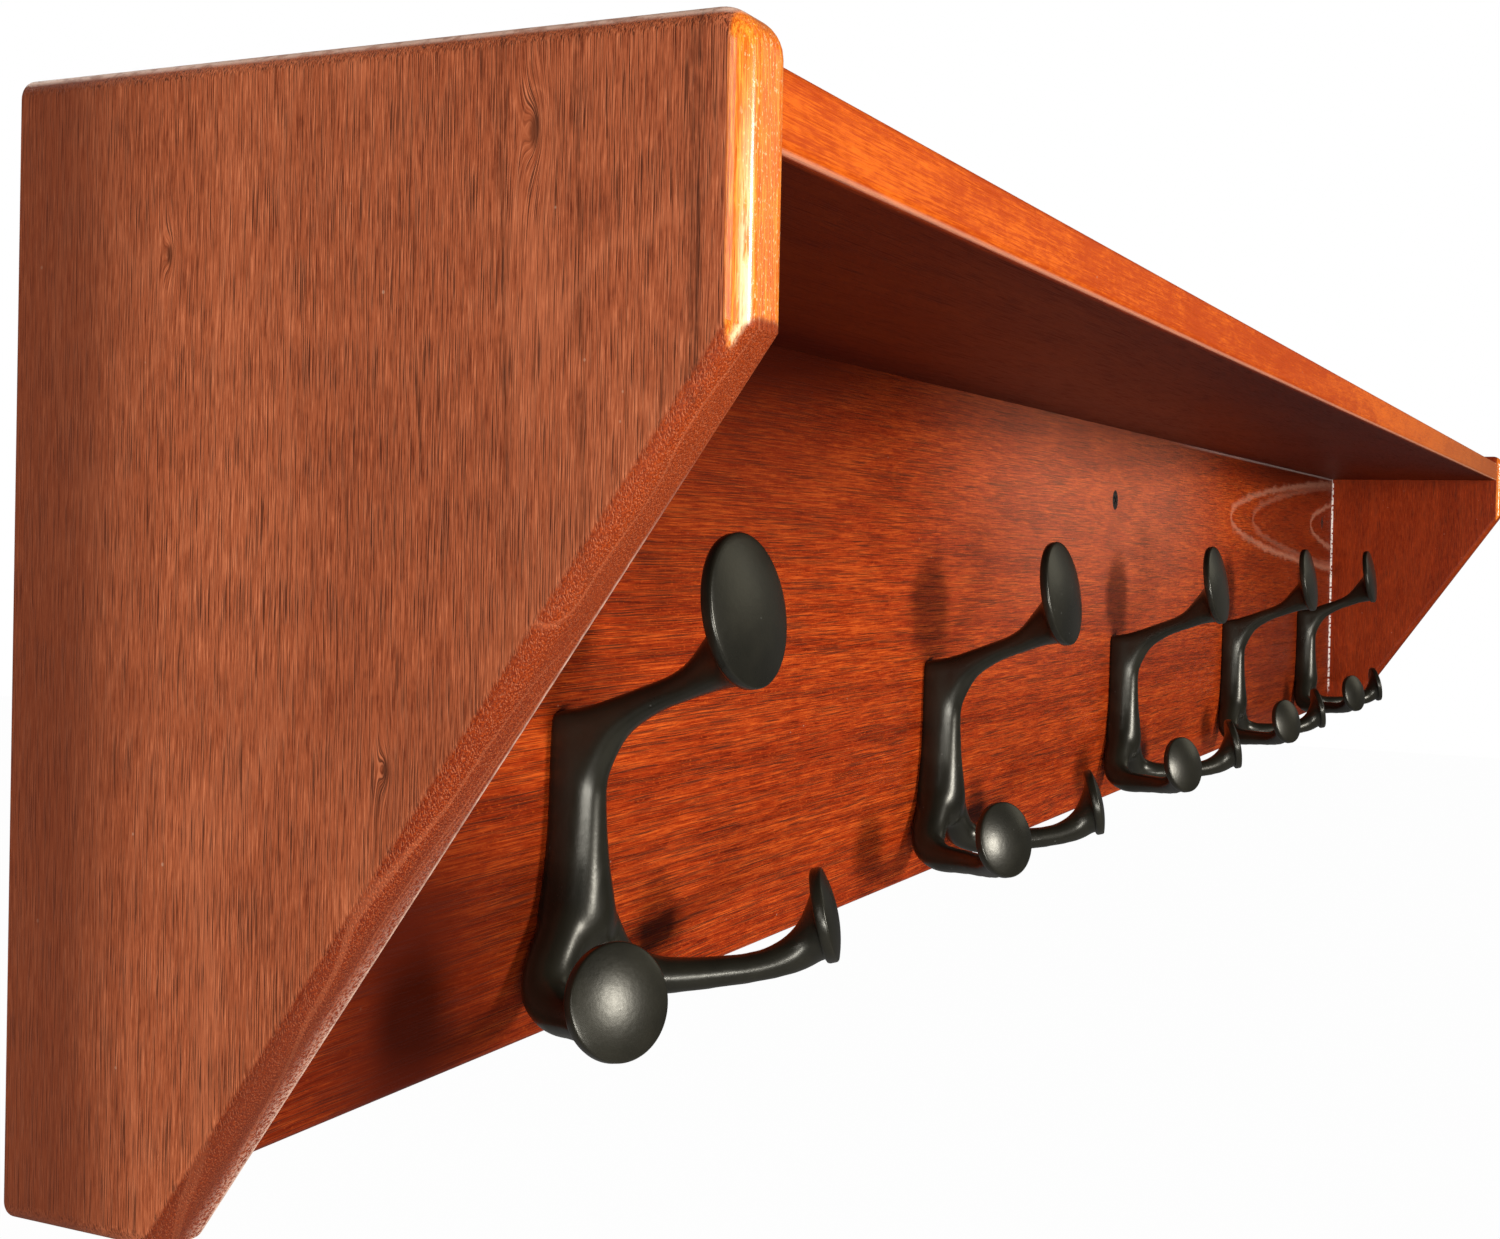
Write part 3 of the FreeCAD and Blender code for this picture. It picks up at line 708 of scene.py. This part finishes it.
def merged(name, things):
    """One object made of several."""
    sheet = bmesh.new()
    for thing in things:
        sheet.from_mesh(thing.data)
    mesh = bpy.data.meshes.new(name)
    sheet.to_mesh(mesh)
    sheet.free()
    for thing in things:
        old = thing.data
        bpy.data.objects.remove(thing)
        bpy.data.meshes.remove(old)
    set_smooth(mesh)
    return new_object(name, mesh)


def baked(thing, *modifiers):
    """The piece with its modifiers worked into its mesh."""
    for kind, settings in modifiers:
        modifier = thing.modifiers.new(kind.lower(), kind)
        for key, value in settings.items():
            setattr(modifier, key, value)
    evaluated = thing.evaluated_get(bpy.context.evaluated_depsgraph_get())
    mesh = bpy.data.meshes.new_from_object(evaluated)
    old = thing.data
    thing.modifiers.clear()
    thing.data = mesh
    bpy.data.meshes.remove(old)
    set_smooth(mesh)
    return thing


# Hooks

UPPER_DISC = {"radius": 13.1, "place": (0.0, -36.0, 73.2), "turn": 0, "tilt": 9}
LOWER_DISC = {"radius": 8.8, "place": (35.6, -34.8, 16.3), "turn": 22, "tilt": 13}

# The rounded rim of a disc's face, how far its dome rises over that and how the dome is divided
RIM_WIDTH = 0.42
RIM_HEIGHT = 0.93
DOME_RISE = 1.35
DOME_POWER = 2.1
DOME_STEPS = 15

# x, y, z, half width, half depth
SPINE = (
    (0, -3.5, 54.8, 3.4, 4.7),
    (0, -3.6, 51.5, 3.6, 5.1),
    (0, -3.8, 46.0, 3.9, 5.6),
    (0, -3.9, 38.0, 4.3, 5.5),
    (0, -4.0, 30.0, 5.2, 5.8),
    (0, -4.1, 24.0, 6.5, 6.3),
    (0, -4.2, 19.0, 7.8, 6.5),
    (0, -4.2, 15.0, 7.6, 5.4),
    (0, -3.8, 12.4, 4.4, 3.4),
)
ARM_ROOT = (
    (0, -4.2, 38.0, 3.6, 4.5),
    (0, -5.6, 45.0, 3.6, 4.4),
    (0, -8.9, 51.2, 3.4, 4.1),
    (0, -13.6, 54.9, 3.3, 3.0),
    (0, -19.5, 58.0, 3.1, 2.5),
)
UPPER_ARM = (
    (0, -0.6, 52.0, 3.4, 3.0),
    (0, -6.0, 53.0, 3.5, 3.0),
    (0, -12.0, 55.2, 3.3, 2.8),
    (0, -18.0, 57.6, 3.2, 2.7),
    (0, -23.0, 59.6, 3.2, 2.7),
    (0, -27.4, 61.8, 3.9, 3.3),
    (0, -31.0, 64.4, 5.2, 4.7),
    (0, -33.8, 66.9, 7.0, 6.5),
    (0, -35.1, 69.0, 9.0, 8.4),
)
LOWER_ARM = (
    (1.0, -4.2, 26.5, 4.0, 4.0),
    (2.6, -4.4, 21.8, 4.2, 4.3),
    (5.1, -4.7, 17.0, 4.4, 4.6),
    (8.5, -4.8, 12.5, 4.3, 4.5),
    (11.9, -6.2, 8.9, 4.0, 4.1),
    (14.9, -10.6, 7.0, 3.6, 3.7),
    (17.6, -15.8, 7.0, 3.2, 3.3),
    (21.0, -20.9, 7.4, 3.0, 3.0),
    (25.4, -26.0, 7.9, 2.9, 2.9),
    (29.3, -29.6, 9.1, 3.4, 3.3),
    (32.4, -32.0, 11.1, 4.5, 4.2),
    (34.8, -33.8, 14.7, 6.4, 6.2),
)


def facing_of(disc, side=1):
    """The direction that a disc faces."""
    turn = math.radians(disc["turn"])
    tilt = math.radians(disc["tilt"])
    level = math.cos(tilt)
    return Vector((level * math.sin(turn) * side, -level * math.cos(turn), math.sin(tilt)))


def disc_backing(name, disc):
    """The thick inner part of a disc, which the arm flares into."""
    radius = disc["radius"] - 0.55
    profile = [(0.2, -1.5), (radius * 0.72, -1.35), (radius, -0.75), (radius, 0.35), (0.2, 0.75)]
    return lathe(name, profile, 56)


def disc_face(name, disc):
    """The thin domed plate of a disc with its small rounded rim."""
    radius = disc["radius"]
    inside = radius - RIM_WIDTH
    profile = [(0.1, -0.6), (radius - 0.55, -1.3), (radius - 0.16, -1.1), (radius, -0.7)]
    profile += [(radius, 0.45), (radius - 0.07, 0.68), (radius - 0.22, 0.84), (inside, RIM_HEIGHT)]
    for k in range(1, DOME_STEPS):
        share = 1 - k / DOME_STEPS
        profile.append((inside * share, RIM_HEIGHT + DOME_RISE * (1 - share ** DOME_POWER)))
    profile.append((0.02, RIM_HEIGHT + DOME_RISE))
    return lathe(name, profile, 96)


def place_disc(thing, disc, side=1):
    """Puts a disc that lies flat on its arm, facing forward, swung outwards and tilted up."""
    x, y, z = disc["place"]
    swing = Matrix.Rotation(math.radians(disc["turn"] * side), 4, "Z")
    stand = Matrix.Rotation(math.radians(90 - disc["tilt"]), 4, "X")
    return settle(thing, at(x * side, y, z) @ swing @ stand)


def hook_casting():
    """One hook: a spine that forks into two lower arms, an upper arm, and a disc on each arm."""
    parts = [
        limb("spine", SPINE, (1, 0, 0)),
        limb("arm_root", ARM_ROOT, (1, 0, 0)),
        limb("upper_arm", UPPER_ARM, (1, 0, 0), facing_of(UPPER_DISC)),
    ]
    faces = [place_disc(disc_face("upper_face", UPPER_DISC), UPPER_DISC)]
    parts.append(place_disc(disc_backing("upper_backing", UPPER_DISC), UPPER_DISC))
    for side in (-1, 1):
        stations = [(x * side, y, z, wide, deep) for x, y, z, wide, deep in LOWER_ARM]
        parts.append(limb("lower_arm", stations, (0, 0, 1), facing_of(LOWER_DISC, side)))
        parts.append(place_disc(disc_backing("lower_backing", LOWER_DISC), LOWER_DISC, side))
        faces.append(place_disc(disc_face("lower_face", LOWER_DISC), LOWER_DISC, side))
    body = merged("hook_body", parts)
    voxel = {"mode": "VOXEL", "voxel_size": 0.62 * MM, "use_smooth_shade": True}
    baked(body, ("REMESH", voxel), ("SMOOTH", {"factor": 0.5, "iterations": 34}))
    for corner in body.data.vertices:
        corner.co.y = min(corner.co.y, 0.0)
    return merged("hook_casting", [body] + faces)


def add_hooks(material):
    """The five hooks, each in place of one solid of the frame's coat_hooks."""
    pattern = hook_casting()
    pattern.data.materials.append(material)
    for number, x in enumerate(HOOK_PLACES, 1):
        hook = copy_of(pattern, f"hook_{number}", at(x, BOARD_FRONT, HOOK_FOOT))
        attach(hook, "root")
        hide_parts("coat_hooks")
    bpy.data.objects.remove(pattern)


# Screws

# The place of each wall screw along the shelf, and how far it is turned, in degrees
WALL_SCREWS = {"left": (-400.0, 12), "centre": (0.0, 38), "right": (400.0, 71)}
# How much further each hook screw is turned than the one before it
HOOK_SCREW_TURN = 23
# Edges of a screw are crisp where faces meet at more than this many degrees
CRISP_ANGLE = 32

THREAD_CORNERS = 32
THREAD_ROWS_PER_TURN = 14


def threaded_rod(name, outer, core, start, end, tip, pitch):
    """A threaded rod about its own Z axis that runs from start to end, narrowing over tip."""
    rows = int((end - start) / pitch * THREAD_ROWS_PER_TURN)
    run_out = pitch * 0.8
    points = []
    for i in range(rows + 1):
        height = start + (end - start) * i / rows
        narrowing = min(1.0, (end - height) / tip) if tip else 1.0
        fade = min(1.0, (height - start) / run_out, max((end - height) / run_out, 0.0) + 0.15)
        for k in range(THREAD_CORNERS):
            turn = k / THREAD_CORNERS
            phase = (height / pitch - turn) % 1.0
            ridge = max(0.0, 1.0 - abs(phase - 0.5) / 0.30)
            radius = (core + (outer - core) * ridge * fade) * max(narrowing, 0.03)
            angle = 2 * math.pi * turn
            points.append((radius * math.cos(angle), radius * math.sin(angle), height))
    return mesh_object(name, points, tube_faces(rows + 1, THREAD_CORNERS))


def cross_recess(name, arm, width, mouth, depth):
    """A cross-shaped cutter that narrows from its mouth, just outside a head, to its bottom."""
    outline = [(arm, width), (width, width), (width, arm)]
    outline += [(-width, arm), (-width, width), (-arm, width)]
    outline += [(-x, -y) for x, y in outline]
    top = [(x, y, mouth) for x, y in outline]
    floor = [(x * 0.62, y * 0.75, depth) for x, y in outline]
    count = len(outline)
    faces = [tuple(range(count)), tuple(reversed(range(count, count * 2)))]
    for k in range(count):
        n = (k + 1) % count
        faces.append((k, k + count, n + count, n))
    cutter = mesh_object(name, top + floor, faces, smooth=False)
    sheet = bmesh.new()
    sheet.from_mesh(cutter.data)
    bmesh.ops.recalc_face_normals(sheet, faces=sheet.faces)
    sheet.to_mesh(cutter.data)
    sheet.free()
    return cutter


def screw_head(name, profile, arm, width, mouth, depth):
    """A turned screw head with a cross recess. arm is how far the slots of the cross reach from its
    middle, and width is half the width of a slot."""
    head = lathe(name, profile, 72)
    cutter = cross_recess(f"{name}_cutter", arm, width, mouth, depth)
    baked(head, ("BOOLEAN", {"object": cutter, "operation": "DIFFERENCE", "solver": "EXACT"}))
    bpy.data.objects.remove(cutter)
    return head


def crisped(thing):
    """The piece with smooth curves and crisp edges."""
    sheet = bmesh.new()
    sheet.from_mesh(thing.data)
    for edge in sheet.edges:
        edge.smooth = edge.calc_face_angle(0.0) < math.radians(CRISP_ANGLE)
    sheet.to_mesh(thing.data)
    sheet.free()
    return thing


def wall_screw():
    """A flat-head wood screw along Z with its face at 0, a plain shank, a thread and a point."""
    profile = [(0.05, 0.06), (3.0, 0.06), (3.3, 0.10), (3.42, 0.24), (3.36, 0.38), (1.5, 2.1)]
    profile += [(1.5, 10.6), (1.3, 11.2), (0.05, 11.2)]
    head = screw_head("wall_screw_head", profile, arm=2.0, width=0.36, mouth=-0.3, depth=1.7)
    thread = threaded_rod(
        "wall_screw_thread", outer=1.74, core=1.15, start=10.5, end=37.9, tip=6.0, pitch=1.6
    )
    return crisped(merged("wall_screw", [head, thread]))


def hook_screw():
    """A pan-head machine screw along Z with the seat of its head at 0 and its shank above it."""
    profile = [(0.05, -2.55), (1.8, -2.5), (2.9, -2.25), (3.6, -1.6), (3.95, -0.7), (3.98, -0.1)]
    profile += [(3.9, 0.0), (1.75, 0.0), (1.75, 2.0), (0.05, 2.0)]
    head = screw_head("hook_screw_head", profile, arm=2.3, width=0.42, mouth=-2.9, depth=-1.0)
    thread = threaded_rod(
        "hook_screw_thread", outer=1.97, core=1.6, start=0.4, end=11.7, tip=0.0, pitch=0.7
    )
    return crisped(merged("hook_screw", [head, thread]))


def add_screws(wall_material, hook_material):
    """The three screws that go into the wall, and the one behind each hook."""
    into_wall = Matrix.Rotation(math.radians(-90), 4, "X")
    pattern = wall_screw()
    pattern.data.materials.append(wall_material)
    for word, (x, turn) in WALL_SCREWS.items():
        spin = Matrix.Rotation(math.radians(turn), 4, "Z")
        screw = copy_of(pattern, f"screw_{word}", at(x, BOARD_FRONT, WALL_SCREW_Z) @ into_wall @ spin)
        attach(screw, "root")
        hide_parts("wall_screws")
    bpy.data.objects.remove(pattern)

    out_of_wall = Matrix.Rotation(math.radians(90), 4, "X")
    pattern = hook_screw()
    pattern.data.materials.append(hook_material)
    for number, x in enumerate(HOOK_PLACES, 1):
        spin = Matrix.Rotation(math.radians(HOOK_SCREW_TURN * number), 4, "Z")
        seat = at(x, HOOK_SCREW_SEAT, HOOK_SCREW_Z)
        screw = copy_of(pattern, f"rear_screw_{number}", seat @ out_of_wall @ spin)
        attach(screw, "root")
        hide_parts(f"hook_{number}_screw")
    bpy.data.objects.remove(pattern)


# Studio

WHITE = (1.0, 1.0, 1.0, 1.0)
WARM_FILL = (1.0, 0.97, 0.93, 1.0)
FLOOR_GREY = (0.30, 0.30, 0.30, 1.0)
FLOOR_LEVEL = -1000.0
FLOOR_REACH = 9000.0
# How white the floor looks to the camera, and how white the floor and the world look in a shine
FLOOR_WHITENESS = 0.985
MIRROR_WHITENESS = 0.06

# Each lamp's place, what it points at, its width and height, its power in watts and its colour
LAMPS = {
    "key": ((-0.22, -1.9, 0.26), (-0.1, 0.0, 0.02), 0.36, 0.44, 35.0, (1.0, 0.97, 0.92)),
    "side": ((-2.05, -0.22, 0.40), (-0.44, -0.05, 0.02), 0.8, 0.8, 11.5, (1.0, 0.98, 0.96)),
    "left_strip": ((-1.45, -1.00, -0.24), (-0.35, -0.05, 0.02), 1.0, 0.10, 24.0, (1.0, 0.99, 0.97)),
    "back_fill": ((0.35, 2.1, 1.0), (0.0, 0.0, 0.0), 1.4, 1.0, 30.0, (1.0, 0.98, 0.95)),
    "right_soft": ((1.9, -1.5, 0.80), (0.0, -0.05, 0.0), 0.9, 0.9, 2.6, (1.0, 0.95, 0.74)),
}


def white_share(shader, seen):
    """How much of what a ray meets is plain white: seen for camera and see-through rays, and a
    little for mirror rays."""
    path = shader.node("ShaderNodeLightPath")
    kinds = ("Camera", "Transmission", "Glossy")
    camera, clear, mirror = [Value(shader, path.outputs[f"Is {kind} Ray"]) for kind in kinds]
    straight = shader.math("MAXIMUM", camera, clear)
    return shader.math("MAXIMUM", straight * seen, mirror * MIRROR_WHITENESS)


def add_floor():
    """A pale floor far below the shelf that the camera sees as nearly white."""
    shader = Shader(bpy.data.materials.new("pale_floor"))
    x, y, z = shader.axes()
    paper = shader.noise((x / 3.0, y / 3.0, z / 3.0), 3.0)
    inputs = {"Base Color": FLOOR_GREY, "Roughness": 0.85 + paper * 0.1, "Specular IOR Level": 0.1}
    plain = shader.value("ShaderNodeBsdfPrincipled", "BSDF", None, inputs)
    white = shader.value("ShaderNodeEmission", "Emission", None, {"Color": WHITE, "Strength": 1.0})
    material = shader.show(shader.blend(white_share(shader, FLOOR_WHITENESS), plain, white))
    sides = ((-1, -1), (1, -1), (1, 1), (-1, 1))
    corners = [(x_side * FLOOR_REACH, y_side * FLOOR_REACH, FLOOR_LEVEL) for x_side, y_side in sides]
    floor = mesh_object("floor", corners, [(0, 1, 2, 3)], smooth=False)
    floor.data.materials.append(material)


def light_world():
    """A faint warm fill for the object, and plain white where the camera sees past it."""
    world = bpy.data.worlds.new("studio")
    bpy.context.scene.world = world
    shader = Shader(world)
    fill_inputs = {"Color": WARM_FILL, "Strength": 0.05}
    fill = shader.value("ShaderNodeBackground", "Background", None, fill_inputs)
    white = shader.value("ShaderNodeBackground", "Background", None, {"Color": WHITE, "Strength": 1.0})
    shader.show(shader.blend(white_share(shader, 1.0), fill, white), "ShaderNodeOutputWorld")


def add_lights():
    """The lamps, which aren't part of the object."""
    for name, (place, target, width, height, power, colour) in LAMPS.items():
        data = bpy.data.lights.new(name, "AREA")
        data.shape = "RECTANGLE"
        data.size = width
        data.size_y = height
        data.energy = power
        data.color = colour
        lamp = new_object(name, data)
        lamp.location = place
        lamp.rotation_euler = (Vector(target) - Vector(place)).to_track_quat("-Z", "Y").to_euler()


def add_camera():
    """The camera of the photo, looking along the shelf from in front of its left panel."""
    data = bpy.data.cameras.new("photo_camera")
    data.sensor_width = 36.0
    data.lens = 43.33
    data.shift_x = -0.1067
    data.shift_y = -0.0387
    data.clip_start = 0.01
    data.clip_end = 60.0
    camera = new_object("photo_camera", data)
    place = Vector((-0.60049, -0.18614, 0.02191))
    right = Vector((0.38829, -0.92130, 0.02077))
    down = Vector((-0.00061, -0.02280, -0.99974))
    forward = Vector((0.92154, 0.38818, -0.00942))
    turn = Matrix((right, -down, -forward)).transposed().to_4x4()
    camera.matrix_world = Matrix.Translation(place) @ turn
    bpy.context.scene.camera = camera


bpy.context.scene.view_settings.view_transform = "Standard"
finish_boards()
add_hooks(black_casting())
add_screws(
    screw_metal("black_oxide", BLACK_OXIDE, metallic=0.6, roughness=0.38),
    screw_metal("zinc_plate", ZINC_PLATE, metallic=1.0, roughness=0.34),
)
add_floor()
light_world()
add_lights()
add_camera()
